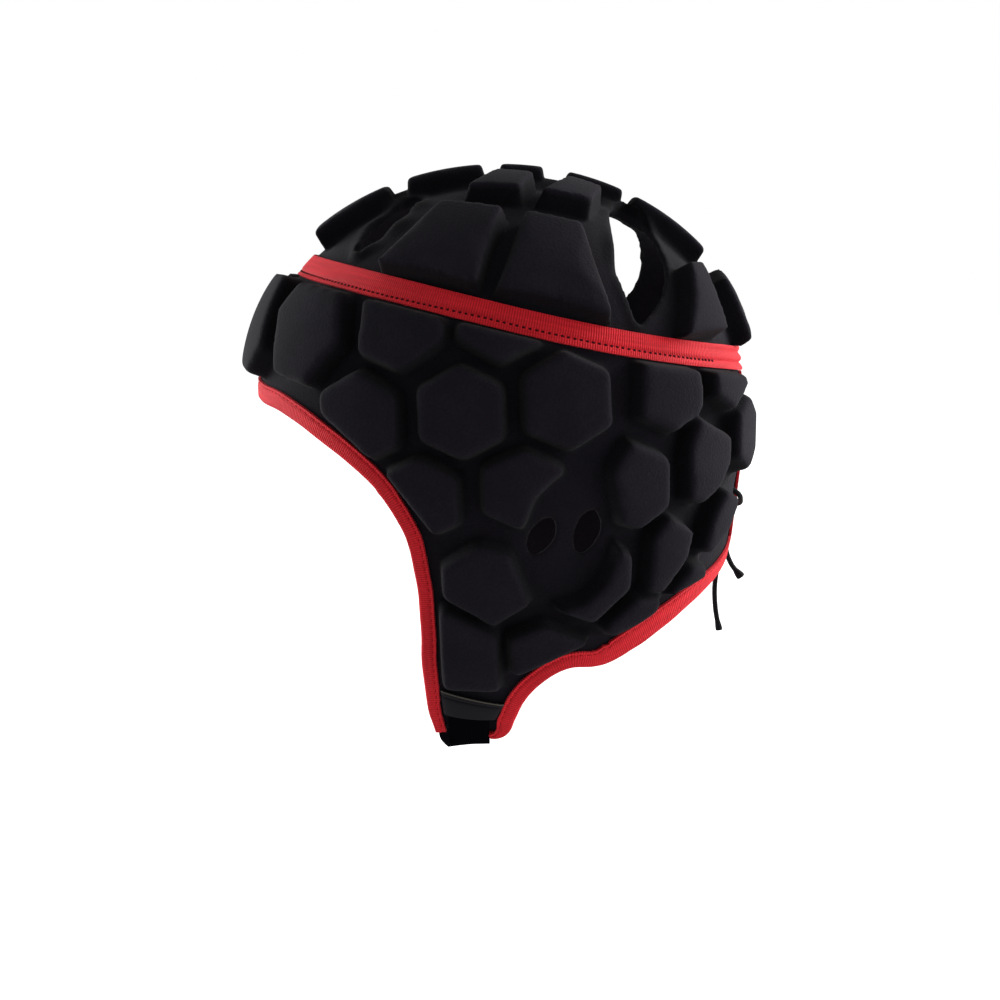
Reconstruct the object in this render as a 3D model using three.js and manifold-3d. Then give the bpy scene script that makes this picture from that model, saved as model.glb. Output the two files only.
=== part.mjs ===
// Soft padded headguard for ball sports: foam pads moulded on a thin cloth wall, with a crown panel and
// one side panel joined under a red tape, red bound rims, a chin strap and a laced slit at the back.
// Millimetres, +Z up, face towards -Y, wearer's left towards +X, origin at the inside top of the crown.

import * as THREE from 'three';
import { mergeVertices } from 'three/addons/utils/BufferGeometryUtils.js';
import Module from 'manifold-3d';

const wasm = await Module();
wasm.setup();

// Head form: the inside of the cap is half an ellipsoid down to the widest level, then oval sections
const CROWN_DEPTH = 80;
const HALF_BREADTH = 77;
const HALF_LENGTH = 97;
const LOWER_SECTIONS = [
  { drop: 80, breadth: 77, front: 97, back: 97 },
  { drop: 110, breadth: 77, front: 96, back: 98 },
  { drop: 140, breadth: 74, front: 89, back: 95.5 },
  { drop: 175, breadth: 68.5, front: 80, back: 89 },
  { drop: 225, breadth: 58, front: 68, back: 79 },
];
const FORM_COLUMNS = 28;
const DOME_ROWS = 6;

// Layers, measured out from the inside of the wall
const WALL = 2.5;
const PAD_RISE = 8.5;
const PAD_ROOT = 0.6;
const PAD_DRAFT = 2.6;
const PAD_TOP_INSET = 0.6;
const PAD_CROWN = 0.6;
const TAPE = 1.2;
const GAP = 0.3;

// Crown seam: a plane that falls towards the back, covered by a tape
const SEAM_DROP = 46.6;
const SEAM_FALL = Math.atan(0.2);
const BAND_HEIGHT = 9;

// Flaps over the ears and cheeks, down to their tips
const FLAP_BOTTOM = 208;

// Rims as seen from the side: how far back and down the wall's edge runs, and the tape's width on it
const FACE_EDGE = [
  { back: -114, drop: 80.5, tape: 6.5 },
  { back: -98, drop: 81, tape: 6.5 },
  { back: -80, drop: 84.5, tape: 6.5 },
  { back: -62, drop: 94.5, tape: 6 },
  { back: -45, drop: 107.5, tape: 5.2 },
  { back: -34, drop: 124.5, tape: 4.8 },
  { back: -29.5, drop: 143, tape: 4.6 },
  { back: -28, drop: 161, tape: 4.6 },
  { back: -27.5, drop: 180, tape: 4.4 },
  { back: -25.5, drop: 198, tape: 3.4 },
  { back: -22, drop: FLAP_BOTTOM, tape: 1.6 },
];
const NECK_EDGE = [
  { back: 2.5, drop: FLAP_BOTTOM, tape: 5.3 },
  { back: 4.5, drop: 202, tape: 5.4 },
  { back: 8.5, drop: 192, tape: 5.5 },
  { back: 16.5, drop: 183, tape: 5.5 },
  { back: 26, drop: 178.5, tape: 5.5 },
  { back: 35, drop: 179, tape: 5.8 },
  { back: 40, drop: 178.2, tape: 7.2 },
  { back: 50, drop: 173.6, tape: 8.2 },
  { back: 63, drop: 166.2, tape: 8.2 },
  { back: 76, drop: 158.4, tape: 7 },
  { back: 87, drop: 151.9, tape: 6 },
  { back: 96, drop: 145, tape: 6 },
  { back: 114, drop: 128, tape: 6 },
];
const RIM_STEPS = 14;

// Side pads: six-sided, at a turn round the head from the ear towards the back, and a drop below the top
const SIDE_PADS = [
  { turn: -74, drop: 55, width: 33, height: 40, lean: 12 },
  { turn: -46.6, drop: 54, width: 35, height: 41, lean: 19 },
  { turn: -21.3, drop: 50.5, width: 33, height: 34, lean: 8 },
  { turn: 0, drop: 47.5, width: 31, height: 34, lean: 0 },
  { turn: -29.6, drop: 83.5, width: 33, height: 33, lean: 0 },
  { turn: -7.8, drop: 80.5, width: 32, height: 32, lean: 2 },
  { turn: 13.5, drop: 76.5, width: 33, height: 34, lean: 3 },
  { turn: 36.8, drop: 73, width: 30, height: 33, lean: 3 },
  { turn: 57, drop: 68, width: 25, height: 32, lean: 3 },
  { turn: -16.4, drop: 111, width: 30.5, height: 30, lean: 0 },
  { turn: 4.6, drop: 107, width: 30.5, height: 29, lean: 0 },
  { turn: 66.5, drop: 94, width: 22, height: 31, lean: 0 },
];
const HEX_SIDE = 0.27;

// Pads behind and below the ear, cut to fit round it and along the rims, by their corners: [turn, drop]
const CUT_PADS = [
  [[44.4, 84], [41.2, 96.6], [41.8, 114.2], [45.9, 117], [52, 111.4], [56.2, 103], [56.4, 93]],
  [[55.6, 112.8], [50.6, 122.6], [48.6, 135.4], [51.9, 138], [58.5, 130.5], [62.5, 118]],
  [[26.6, 90.9], [22.4, 101.5], [24.5, 120.5], [29.5, 123.4], [36.6, 115.2], [35.8, 97.6]],
  [[-4.4, 126.6], [-12.8, 135.4], [-12.8, 147.2], [-1.5, 157.8], [6.5, 149], [2, 130]],
  [[23.2, 126.9], [18, 128], [11, 142], [12.5, 152.5], [20.5, 158.5], [28.7, 145], [28.2, 132.8]],
  [[36.9, 118.8], [32.8, 127], [33, 147.5], [37.3, 149.1], [43.2, 137.2], [44.3, 126.6]],
  [[-12.2, 152.6], [-19, 150], [-19, 185], [0.2, 185], [-0.8, 161.4]],
  [[9.5, 157.6], [2, 163], [2.6, 177.8], [5.4, 177.8], [20, 168], [20, 164.4]],
  [[30.5, 149.8], [22.8, 161], [25.5, 165], [36.4, 158], [37.4, 151.8]],
  [[45.4, 140], [39, 151.6], [39.8, 154], [50.5, 147], [51.5, 142]],
];
const BAND_MARGIN = 2.8;
const RIM_MARGIN = 2.8;
const SHORTEST_PAD_SIDE = 3;

// Crown pads on each side of the midline, by their corners in plan: [out from the midline, back]
const CROWN_PADS = [
  { innerFront: [40.5, -20], innerBack: [46.5, 1.5], outerBack: [66.5, -7.5], outerFront: [54, -41.5] },
  { innerFront: [47.5, 8.5], innerBack: [47.5, 27.5], outerBack: [65, 37], outerFront: [67.5, -1] },
  { innerFront: [35.5, 65.5], innerBack: [28, 71], outerBack: [38.5, 79], outerFront: [54, 63] },
  { innerFront: [20, -1.5], innerBack: [22, 12.5], outerBack: [36, 7], outerFront: [34.5, -12] },
  { innerFront: [18, 24.5], innerBack: [20, 37], outerBack: [36, 31.5], outerFront: [36.5, 14] },
];

// Midline pads: from the front to the back in plan, with half their width at each end
const MIDLINE_PADS = [
  { front: -67, frontHalf: 18, back: -41, backHalf: 14 },
  { front: -34, frontHalf: 14, back: -6.5, backHalf: 12.5 },
  { front: 0, frontHalf: 12.5, back: 16, backHalf: 11 },
  { front: 25, frontHalf: 10, back: 44, backHalf: 10.5 },
  { front: 50.5, frontHalf: 11, back: 73.5, backHalf: 14 },
  { front: 81.5, frontHalf: 16, back: 90.5, backHalf: 22 },
];

// Crown vents: leaf-shaped holes, broad at the top end and pointed towards the band, in plan
const VENTS = [
  { topEnd: [14.5, 53], tip: [62.5, 51], half: 11.3 },
  { topEnd: [18.5, -32], tip: [41.5, -53], half: 8.5 },
];
const VENT_PROFILE = [
  { along: 0, half: 0 },
  { along: 0.03, half: 0.5 },
  { along: 0.15, half: 0.8 },
  { along: 0.4, half: 0.95 },
  { along: 0.65, half: 1 },
  { along: 0.85, half: 0.62 },
  { along: 1, half: 0 },
];
const VENT_STEPS = 8;

// Ear: a smooth oval dish sunk between the pads, with two leaf-shaped slots in it
const EAR = { turn: 14.5, drop: 126.2, half: 15, halfHeight: 23, lean: 9, flare: 0.5 };
const EAR_SIDES = 12;
const EAR_SLOTS = [
  { across: 7.5, up: 1.2, half: 4.5, halfHeight: 9.2, lean: 16 },
  { across: -9.5, up: 0.2, half: 4.1, halfHeight: 8.4, lean: 28 },
];
const LEAF_STEPS = 4;

// Back slit and its lace
const SLIT_HALF = 6;
const SLIT_TAPE = 5.5;
const LACE_RADIUS = 1.1;
const LACE_HOLE_ACROSS = 15;
const LACE_HOLE_RADIUS = 2.8;
const LACE_HOLE_SIDES = 6;
const LACE_ROWS = [82, 101, 120];
const LACE_OUTSIDE = 5.9;
const LACE_INSIDE = -3.4;
const LACE_OVER = 2.6;
const LACE_BEND = { inward: 0.6, along: 2.2, outsideDip: 1.4, insideDip: 0.9 };
const LACE_SPAN = 8.5;
const LACE_TOP_SAG = 3;
const KNOT_LEADS = [
  { across: 3.4, rise: 1.5 },
  { across: LACE_SPAN, rise: 4 },
];
const LACE_STEPS = 54;
const LACE_SIDES = 6;
const KNOT = { drop: 130, lift: 3, half: 3.6, halfDepth: 3.1 };
const LACE_ENDS = [
  {
    name: 'lace_end_left',
    route: [
      [1.5, 98.9, -134.2],
      [1.9, 98, -142],
      [2.2, 95.6, -152],
      [2.4, 93.8, -165],
      [2.5, 94.4, -176],
      [2.6, 96.4, -186],
    ],
  },
  {
    name: 'lace_end_right',
    route: [
      [-1.5, 98.9, -134.2],
      [-1.9, 98.2, -143],
      [-2.1, 99, -151],
      [-2.3, 101.5, -157.4],
      [-2.4, 106, -163.2],
    ],
  },
];
const LACE_END_STEPS = 9;
const LACE_END_SIDES = 8;

// Chin strap, and the covers that hold its ends on the flap tips
const STRAP_BACK = -11.7;
const STRAP_HALF = 7.9;
const STRAP_THICKNESS = 1.6;
const STRAP_TOP = 196;
const STRAP_STEPS = 26;
const STRAP_LEVEL = 214;
const STRAP_UNDER_CHIN = [
  { out: 63.5, back: -11.9, drop: 212 },
  { out: 57, back: -13.4, drop: 214.5 },
  { out: 40, back: -17, drop: 218.5 },
  { out: 20, back: -18.6, drop: 222 },
  { out: 0, back: -19, drop: 223 },
];
const COVER_CORNERS = [
  { back: -40, drop: 184.8 },
  { back: 20, drop: 198.1 },
  { back: 20, drop: 203.2 },
  { back: -40, drop: 197.6 },
];
const COVER_THICKNESS = 1.2;

// Finishes
const FINISHES = {
  padding: { color: 0x18161c, roughness: 0.85, metalness: 0 },
  tape: { color: 0xc81e2a, roughness: 0.8, metalness: 0 },
  webbing: { color: 0x141316, roughness: 0.9, metalness: 0 },
  cover: { color: 0x1a191d, roughness: 0.45, metalness: 0 },
  lace: { color: 0x121114, roughness: 0.9, metalness: 0 },
};

const FAR = 400;
const degrees = THREE.MathUtils.degToRad;
const point = (x, y, z) => new THREE.Vector3(x, y, z);

// The oval section of the head form at a drop below the top
function sectionAt(drop) {
  if (drop <= CROWN_DEPTH) {
    const up = (CROWN_DEPTH - drop) / CROWN_DEPTH;
    const share = Math.sqrt(Math.max(0, 1 - up * up));
    return { breadth: HALF_BREADTH * share, front: HALF_LENGTH * share, back: HALF_LENGTH * share };
  }
  const last = LOWER_SECTIONS.length - 2;
  const found = LOWER_SECTIONS.findIndex((row, i) => i <= last && drop <= LOWER_SECTIONS[i + 1].drop);
  const upper = LOWER_SECTIONS[found < 0 ? last : found];
  const lower = LOWER_SECTIONS[(found < 0 ? last : found) + 1];
  const share = (drop - upper.drop) / (lower.drop - upper.drop);
  const blend = (column) => THREE.MathUtils.lerp(upper[column], lower[column], share);
  return { breadth: blend('breadth'), front: blend('front'), back: blend('back') };
}

// A point on the inside of the wall, at a turn from the left ear and a drop below the top
function formPoint(turn, drop) {
  const section = sectionAt(drop);
  const along = Math.sin(degrees(turn));
  const length = along < 0 ? section.front : section.back;
  return point(section.breadth * Math.cos(degrees(turn)), length * along, -drop);
}

function formNormal(turn, drop) {
  if (drop < CROWN_DEPTH) {
    const at = formPoint(turn, drop);
    const up = (at.z + CROWN_DEPTH) / CROWN_DEPTH ** 2;
    return point(at.x / HALF_BREADTH ** 2, at.y / HALF_LENGTH ** 2, up).normalize();
  }
  const across = formPoint(turn + 0.5, drop).sub(formPoint(turn - 0.5, drop));
  const down = formPoint(turn, drop + 1).sub(formPoint(turn, Math.max(drop - 1, CROWN_DEPTH)));
  return down.cross(across).normalize();
}

// A place on the form: its point and the direction out of the wall there
function onSide(turn, drop) {
  return { at: formPoint(turn, drop), out: formNormal(turn, drop) };
}

function onTop(across, back) {
  const up = Math.sqrt(1 - (across / HALF_BREADTH) ** 2 - (back / HALF_LENGTH) ** 2);
  const turn = THREE.MathUtils.radToDeg(Math.atan2(back / HALF_LENGTH, across / HALF_BREADTH));
  return onSide(turn, CROWN_DEPTH * (1 - up));
}

function onBack(across, drop) {
  return onSide(THREE.MathUtils.radToDeg(Math.acos(across / sectionAt(drop).breadth)), drop);
}

function onFlank(back, drop) {
  const section = sectionAt(drop);
  const share = THREE.MathUtils.clamp(back / (back < 0 ? section.front : section.back), -1, 1);
  return onSide(THREE.MathUtils.radToDeg(Math.asin(share)), drop);
}

const raised = (place, lift) => place.at.clone().addScaledVector(place.out, lift);

// A closed skin through rings of points, with a fan to a middle point at each end
function loft(rings, startMiddle, endMiddle) {
  const count = rings[0].length;
  const points = [...rings.flat(), startMiddle, endMiddle];
  const start = points.length - 2;
  const end = points.length - 1;
  const lastRing = (rings.length - 1) * count;
  const faces = [];
  for (let i = 0; i < count; i += 1) {
    const next = (i + 1) % count;
    faces.push(start, next, i);
    faces.push(end, lastRing + i, lastRing + next);
    for (let ring = 0; ring < lastRing; ring += count) {
      faces.push(ring + i, ring + next, ring + count + next);
      faces.push(ring + i, ring + count + next, ring + count + i);
    }
  }
  const geometry = new THREE.BufferGeometry().setFromPoints(points);
  geometry.setIndex(faces);
  return geometry;
}

const middleOf = (ring) => ring.reduce((sum, p) => sum.add(p), point(0, 0, 0)).divideScalar(ring.length);
const loftFlat = (rings) => loft(rings, middleOf(rings[0]), middleOf(rings.at(-1)));

function signedVolume(positions, faces) {
  const corner = (i) => point(positions[3 * i], positions[3 * i + 1], positions[3 * i + 2]);
  let volume = 0;
  for (let f = 0; f < faces.length; f += 3) {
    volume += corner(faces[f]).dot(corner(faces[f + 1]).cross(corner(faces[f + 2])));
  }
  return volume;
}

// A solid for cutting and joining, from a closed skin turned with its faces out
function solid(geometry) {
  const bare = geometry.clone();
  bare.deleteAttribute('normal');
  bare.deleteAttribute('uv');
  const merged = mergeVertices(bare, 1e-4);
  const positions = new Float32Array(merged.attributes.position.array);
  const faces = new Uint32Array(merged.index.array);
  if (signedVolume(positions, faces) < 0) {
    faces.reverse();
  }
  return new wasm.Manifold(new wasm.Mesh({ numProp: 3, vertProperties: positions, triVerts: faces }));
}

const bothSides = (geometry) => [solid(geometry), solid(geometry.clone().scale(-1, 1, 1))];
const joined = (solids) => solids.reduce((all, one) => all.add(one));

// The head form swollen by a height, closed below: the difference of two of these is an even layer
function formBody(height) {
  const turns = Array.from({ length: FORM_COLUMNS }, (_, i) => (i * 360) / FORM_COLUMNS);
  const domeDrop = (row) => CROWN_DEPTH * (1 - Math.cos((row * Math.PI) / 2 / DOME_ROWS));
  const domeRows = Array.from({ length: DOME_ROWS - 1 }, (_, i) => domeDrop(i + 1));
  const lowerRows = LOWER_SECTIONS.map((section) => section.drop);
  const ring = (drop) => turns.map((turn) => raised(onSide(turn, drop), height));
  const rings = [...domeRows, ...lowerRows].map(ring);
  return solid(loft(rings, point(0, 0, height), middleOf(rings.at(-1))));
}

const layer = (from, to) => formBody(to).subtract(formBody(from));

// Everything between two heights over the seam plane
function seamSlab(from, to) {
  const geometry = new THREE.BoxGeometry(FAR, FAR, to - from);
  geometry.translate(0, 0, (from + to) / 2);
  geometry.rotateX(-SEAM_FALL);
  geometry.translate(0, 0, -SEAM_DROP);
  return solid(geometry);
}

function block(x0, x1, y0, y1, z0, z1) {
  const geometry = new THREE.BoxGeometry(x1 - x0, y1 - y0, z1 - z0);
  geometry.translate((x0 + x1) / 2, (y0 + y1) / 2, (z0 + z1) / 2);
  return solid(geometry);
}

// A side-view outline carried right across the head
function sidePrism(outline) {
  const shape = new THREE.Shape(outline);
  const geometry = new THREE.ExtrudeGeometry(shape, { depth: FAR, bevelEnabled: false });
  geometry.translate(0, 0, -FAR / 2);
  const across = new THREE.Matrix4().makeBasis(point(0, 1, 0), point(0, 0, 1), point(1, 0, 0));
  return solid(geometry.applyMatrix4(across));
}

// A rim's smooth run in side view, with the tape's width and the direction out of the cap at each step
function rimRun(rows, outward) {
  const curve = new THREE.SplineCurve(rows.map((row) => new THREE.Vector2(row.back, -row.drop)));
  const widths = new THREE.SplineCurve(rows.map((row, i) => new THREE.Vector2(i, row.tape)));
  return Array.from({ length: RIM_STEPS + 1 }, (_, i) => {
    const share = i / RIM_STEPS;
    const along = curve.getTangent(share);
    const out = new THREE.Vector2(along.y, -along.x).multiplyScalar(outward);
    return { at: curve.getPoint(share), along, out, tape: widths.getPoint(share).y };
  });
}

const FACE_RUN = rimRun(FACE_EDGE, 1);
const NECK_RUN = rimRun(NECK_EDGE, 1);
const shifted = (run, shift) => run.map((step) => step.at.clone().addScaledVector(step.out, shift(step)));
const rimLine = (run, distance) => shifted(run, () => distance);
const tapeLine = (run, clearance) => shifted(run, (step) => -step.tape - clearance);

// The side view of all that lies above a line along the face and a line along the neck
function outlineAbove(face, neck) {
  const roof = 2 * CROWN_DEPTH;
  return [...face, ...neck, new THREE.Vector2(neck.at(-1).x, roof), new THREE.Vector2(face[0].x, roof)];
}

// The side view of the whole cap, grown by a distance at its rims
function capOutline(grow) {
  const face = rimLine(FACE_RUN, grow);
  const neck = rimLine(NECK_RUN, grow);
  const down = new THREE.Vector2(0, -grow);
  return outlineAbove([...face, face.at(-1).clone().add(down)], [neck[0].clone().add(down), ...neck]);
}

// Keeps the part of an outline that lies on the inner side of a line
function clipped(outline, onLine, inward) {
  const depth = (p) => p.clone().sub(onLine).dot(inward);
  return outline.flatMap((p, i) => {
    const next = outline[(i + 1) % outline.length];
    const kept = depth(p) >= 0 ? [p] : [];
    if (depth(p) * depth(next) < 0) {
      kept.push(p.clone().lerp(next, depth(p) / (depth(p) - depth(next))));
    }
    return kept;
  });
}

function withoutShortSides(outline) {
  return outline.filter((p, i) => p.distanceTo(outline.at(i - 1)) > SHORTEST_PAD_SIDE);
}

// A pad's closed skin: a spread foot in the wall, a drafted side and a slightly crowned top
function padSkin(places, middle) {
  const count = places.length;
  const ring = (spread, lift) => places.map((place, i) => {
    const before = place.at.clone().sub(places.at(i - 1).at).cross(place.out).normalize();
    const after = places[(i + 1) % count].at.clone().sub(place.at).cross(place.out).normalize();
    const corner = before.clone().add(after).divideScalar(1 + before.dot(after));
    return raised(place, lift).addScaledVector(corner, spread);
  });
  const top = WALL + PAD_RISE;
  const rings = [ring(PAD_DRAFT, PAD_ROOT), ring(-PAD_TOP_INSET, top)];
  return loft(rings, raised(middle, PAD_ROOT), raised(middle, top + PAD_CROWN));
}

// How far a degree of turn goes on the top of a side pad
function perDegreeAt(turn, drop) {
  const level = sectionAt(drop);
  const along = Math.hypot(level.back * Math.cos(degrees(turn)), level.breadth * Math.sin(degrees(turn)));
  return degrees(along + WALL + PAD_RISE);
}

function hexagon(row) {
  const perDegree = perDegreeAt(row.turn, row.drop);
  const half = row.width / 2;
  const tall = row.height / 2;
  const side = row.height * HEX_SIDE;
  const corners = [[0, tall], [-half, side], [-half, -side], [0, -tall], [half, -side], [half, side]];
  const origin = new THREE.Vector2(0, 0);
  return corners.map(([u, v]) => {
    const corner = new THREE.Vector2(u, v).rotateAround(origin, degrees(row.lean));
    return [row.turn + corner.x / perDegree, row.drop - corner.y];
  });
}

// A pad laid out flat about its middle, kept clear of the band and of the rims, and set on the side
function sidePad(corners) {
  const middleTurn = corners.reduce((sum, corner) => sum + corner[0] / corners.length, 0);
  const middleDrop = corners.reduce((sum, corner) => sum + corner[1] / corners.length, 0);
  const perDegree = perDegreeAt(middleTurn, middleDrop);
  const laid = (turn, drop) => new THREE.Vector2((turn - middleTurn) * perDegree, middleDrop - drop);
  let outline = corners.map((corner) => laid(...corner));
  const flat = (back, drop) => {
    const place = onFlank(back, drop).at;
    const length = back < 0 ? sectionAt(drop).front : sectionAt(drop).back;
    return laid(THREE.MathUtils.radToDeg(Math.asin(THREE.MathUtils.clamp(place.y / length, -1, 1))), drop);
  };
  const seamAt = (turn) => {
    const back = formPoint(turn, middleDrop).y;
    return SEAM_DROP + back * Math.tan(SEAM_FALL) + (BAND_HEIGHT / 2 + BAND_MARGIN) / Math.cos(SEAM_FALL);
  };
  const seamMiddle = laid(middleTurn, seamAt(middleTurn));
  const seamAlong = laid(middleTurn + 1, seamAt(middleTurn + 1)).sub(seamMiddle).normalize();
  outline = clipped(outline, seamMiddle, new THREE.Vector2(seamAlong.y, -seamAlong.x));
  for (const run of [FACE_RUN, NECK_RUN]) {
    const line = tapeLine(run, RIM_MARGIN).map((p) => flat(p.x, -p.y));
    const near = line.slice(1, -1).reduce((best, p) => (p.length() < best.length() ? p : best));
    const step = line.indexOf(near);
    const rimAlong = line[step + 1].clone().sub(line[step - 1]).normalize();
    outline = clipped(outline, near, new THREE.Vector2(-rimAlong.y, rimAlong.x));
  }
  const set = (p) => onSide(middleTurn + p.x / perDegree, middleDrop - p.y);
  const middle = outline.reduce((sum, p) => sum.add(p), new THREE.Vector2()).divideScalar(outline.length);
  return padSkin(withoutShortSides(outline).map(set), set(middle));
}

function crownPad(row) {
  const corners = [row.innerFront, row.outerFront, row.outerBack, row.innerBack];
  const across = corners.reduce((sum, corner) => sum + corner[0] / corners.length, 0);
  const back = corners.reduce((sum, corner) => sum + corner[1] / corners.length, 0);
  return padSkin(corners.map((corner) => onTop(...corner)), onTop(across, back));
}

function midlinePad(row) {
  const corners = [
    [-row.frontHalf, row.front],
    [0, row.front],
    [row.frontHalf, row.front],
    [row.backHalf, row.back],
    [0, row.back],
    [-row.backHalf, row.back],
  ];
  return padSkin(corners.map((corner) => onTop(...corner)), onTop(0, (row.front + row.back) / 2));
}

// A flat outline pushed through the wall along the direction out of it
function throughWall(outline, place, across, up) {
  const depth = 6 * PAD_RISE;
  const geometry = new THREE.ExtrudeGeometry(new THREE.Shape(outline), { depth, bevelEnabled: false });
  geometry.translate(0, 0, -depth / 2);
  const frame = new THREE.Matrix4().makeBasis(across, up, place.out);
  return geometry.applyMatrix4(frame.setPosition(place.at));
}

// Directions level with the ground and up the wall at a place on the form
function wallFrame(place) {
  const across = point(0, 0, 1).cross(place.out).normalize();
  return { across, up: place.out.clone().cross(across) };
}

function ventCutter(row) {
  const from = onTop(...row.topEnd);
  const to = onTop(...row.tip);
  const place = onTop((row.topEnd[0] + row.tip[0]) / 2, (row.topEnd[1] + row.tip[1]) / 2);
  const along = to.at.clone().sub(from.at).projectOnPlane(place.out).normalize();
  const length = to.at.distanceTo(from.at);
  const edge = (sign) => new THREE.SplineCurve(VENT_PROFILE.map((step) => (
    new THREE.Vector2((step.along - 0.5) * length, sign * step.half * row.half)
  ))).getPoints(VENT_STEPS);
  const outline = [...edge(-1), ...edge(1).reverse().slice(1, -1)];
  return throughWall(outline, place, along, place.out.clone().cross(along));
}

// A leaf with a point at each end, leaning back by an angle
function leaf(half, halfHeight, lean) {
  const shape = new THREE.Shape();
  shape.moveTo(0, -halfHeight);
  shape.quadraticCurveTo(2 * half, 0, 0, halfHeight);
  shape.quadraticCurveTo(-2 * half, 0, 0, -halfHeight);
  const origin = new THREE.Vector2(0, 0);
  return shape.getPoints(LEAF_STEPS).slice(0, -1).map((p) => p.rotateAround(origin, -degrees(lean)));
}

function slotCutter(row) {
  const place = onSide(EAR.turn, EAR.drop);
  const frame = wallFrame(place);
  const outline = leaf(row.half, row.halfHeight, row.lean);
  const moved = outline.map((p) => p.add(new THREE.Vector2(row.across, row.up)));
  return throughWall(moved, place, frame.across, frame.up);
}

// The space over the ear: an oval that flares outwards, so the pads round it slope into the dish
function earSpace() {
  const place = onSide(EAR.turn, EAR.drop);
  const frame = wallFrame(place);
  const ring = (spread, lift) => Array.from({ length: EAR_SIDES }, (_, i) => {
    const angle = (2 * Math.PI * i) / EAR_SIDES;
    const across = (EAR.half + spread) * Math.cos(angle);
    const flat = new THREE.Vector2(across, (EAR.halfHeight + spread) * Math.sin(angle));
    flat.rotateAround(new THREE.Vector2(0, 0), -degrees(EAR.lean));
    return raised(place, lift).addScaledVector(frame.across, flat.x).addScaledVector(frame.up, flat.y);
  });
  const height = 3 * PAD_RISE;
  return loftFlat([ring(-EAR.flare * height, -height), ring(EAR.flare * height, height)]);
}

// A flat band swept along points, each with the direction in which the band is wide there
function sweptBand(path, halfWidth, thickness) {
  const rings = path.map(({ at, wide }, i) => {
    const before = path[Math.max(i - 1, 0)].at;
    const after = path[Math.min(i + 1, path.length - 1)].at;
    const along = after.clone().sub(before).normalize();
    const side = wide.clone().projectOnPlane(along).normalize().multiplyScalar(halfWidth);
    const face = along.clone().cross(side).setLength(thickness / 2);
    const corner = (w, t) => at.clone().addScaledVector(side, w).addScaledVector(face, t);
    return [corner(1, 1), corner(-1, 1), corner(-1, -1), corner(1, -1)];
  });
  return loftFlat(rings);
}

function cordTube(route, steps, sides) {
  const section = new THREE.Shape().absarc(0, 0, LACE_RADIUS, 0, 2 * Math.PI);
  const extrudePath = new THREE.CatmullRomCurve3(route, false, 'centripetal');
  return new THREE.ExtrudeGeometry(section, { steps, curveSegments: sides / 2, extrudePath });
}

const slit = block(-SLIT_HALF, SLIT_HALF, HALF_LENGTH / 2, FAR, -FAR, FAR);
const wall = layer(0, WALL);
const insideTapes = sidePrism(outlineAbove(tapeLine(FACE_RUN, GAP), tapeLine(NECK_RUN, GAP)));

function crownPanel() {
  const sidePads = CROWN_PADS.flatMap((row) => bothSides(crownPad(row)));
  const middlePads = MIDLINE_PADS.map((row) => solid(midlinePad(row)));
  const pads = joined([...sidePads, ...middlePads]).intersect(seamSlab(BAND_HEIGHT / 2 + GAP, FAR));
  const vents = joined(VENTS.flatMap((row) => bothSides(ventCutter(row))));
  return wall.intersect(seamSlab(GAP / 2, FAR)).add(pads).subtract(vents);
}

function sidePanel() {
  const outlines = [...SIDE_PADS.map(hexagon), ...CUT_PADS];
  const pads = joined(outlines.flatMap((corners) => bothSides(sidePad(corners))))
    .intersect(seamSlab(-FAR, -BAND_HEIGHT / 2 - GAP))
    .intersect(insideTapes);
  const ears = joined(bothSides(earSpace())).subtract(formBody(WALL));
  const slots = joined(EAR_SLOTS.flatMap((row) => bothSides(slotCutter(row))));
  const holes = joined(LACE_ROWS.flatMap((drop) => bothSides(laceHole(drop))));
  const shell = wall.intersect(sidePrism(capOutline(0))).intersect(seamSlab(-FAR, -GAP / 2)).subtract(slit);
  return shell.add(pads).subtract(ears).subtract(slots).subtract(holes);
}

function laceHole(drop) {
  const place = onBack(LACE_HOLE_ACROSS, drop);
  const hole = new THREE.CylinderGeometry(LACE_HOLE_RADIUS, LACE_HOLE_RADIUS, 6 * WALL, LACE_HOLE_SIDES);
  const turn = new THREE.Quaternion().setFromUnitVectors(point(0, 1, 0), place.out);
  return hole.applyQuaternion(turn).translate(...place.at.toArray());
}

function crownBand() {
  const tape = layer(WALL + GAP, WALL + GAP + TAPE);
  return tape.intersect(seamSlab(-BAND_HEIGHT / 2, BAND_HEIGHT / 2)).subtract(slit);
}

// Folded tape: both faces of the wall's edge are covered, and the wall with its gap is cut out of it
const foldedTape = layer(-GAP - TAPE, WALL + GAP + TAPE);
const edgeRoom = layer(-GAP, WALL + GAP).intersect(sidePrism(capOutline(GAP)));

const rimStrip = (run) => sidePrism([...rimLine(run, GAP + TAPE), ...tapeLine(run, 0).reverse()]);

function faceBinding() {
  return foldedTape.intersect(rimStrip(FACE_RUN)).subtract(edgeRoom);
}

// The neck tape turns up at the slit and runs to the band, so each side is one piece
function neckBinding(side) {
  const slitEdge = SLIT_HALF - GAP - TAPE;
  const between = (near, far) => (side > 0 ? [near, far] : [-far, -near]);
  const half = block(...between(slitEdge, FAR), -FAR, FAR, -FAR, FAR);
  const upright = block(...between(slitEdge, SLIT_HALF + SLIT_TAPE), HALF_LENGTH / 2, FAR, -FAR, FAR)
    .intersect(seamSlab(-FAR, -BAND_HEIGHT / 2 - GAP))
    .intersect(sidePrism(capOutline(GAP + TAPE)));
  const room = edgeRoom.subtract(block(-SLIT_HALF + GAP, SLIT_HALF - GAP, HALF_LENGTH / 2, FAR, -FAR, FAR));
  const strip = rimStrip(NECK_RUN).intersect(half).add(upright);
  return foldedTape.intersect(strip).subtract(room);
}

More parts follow.
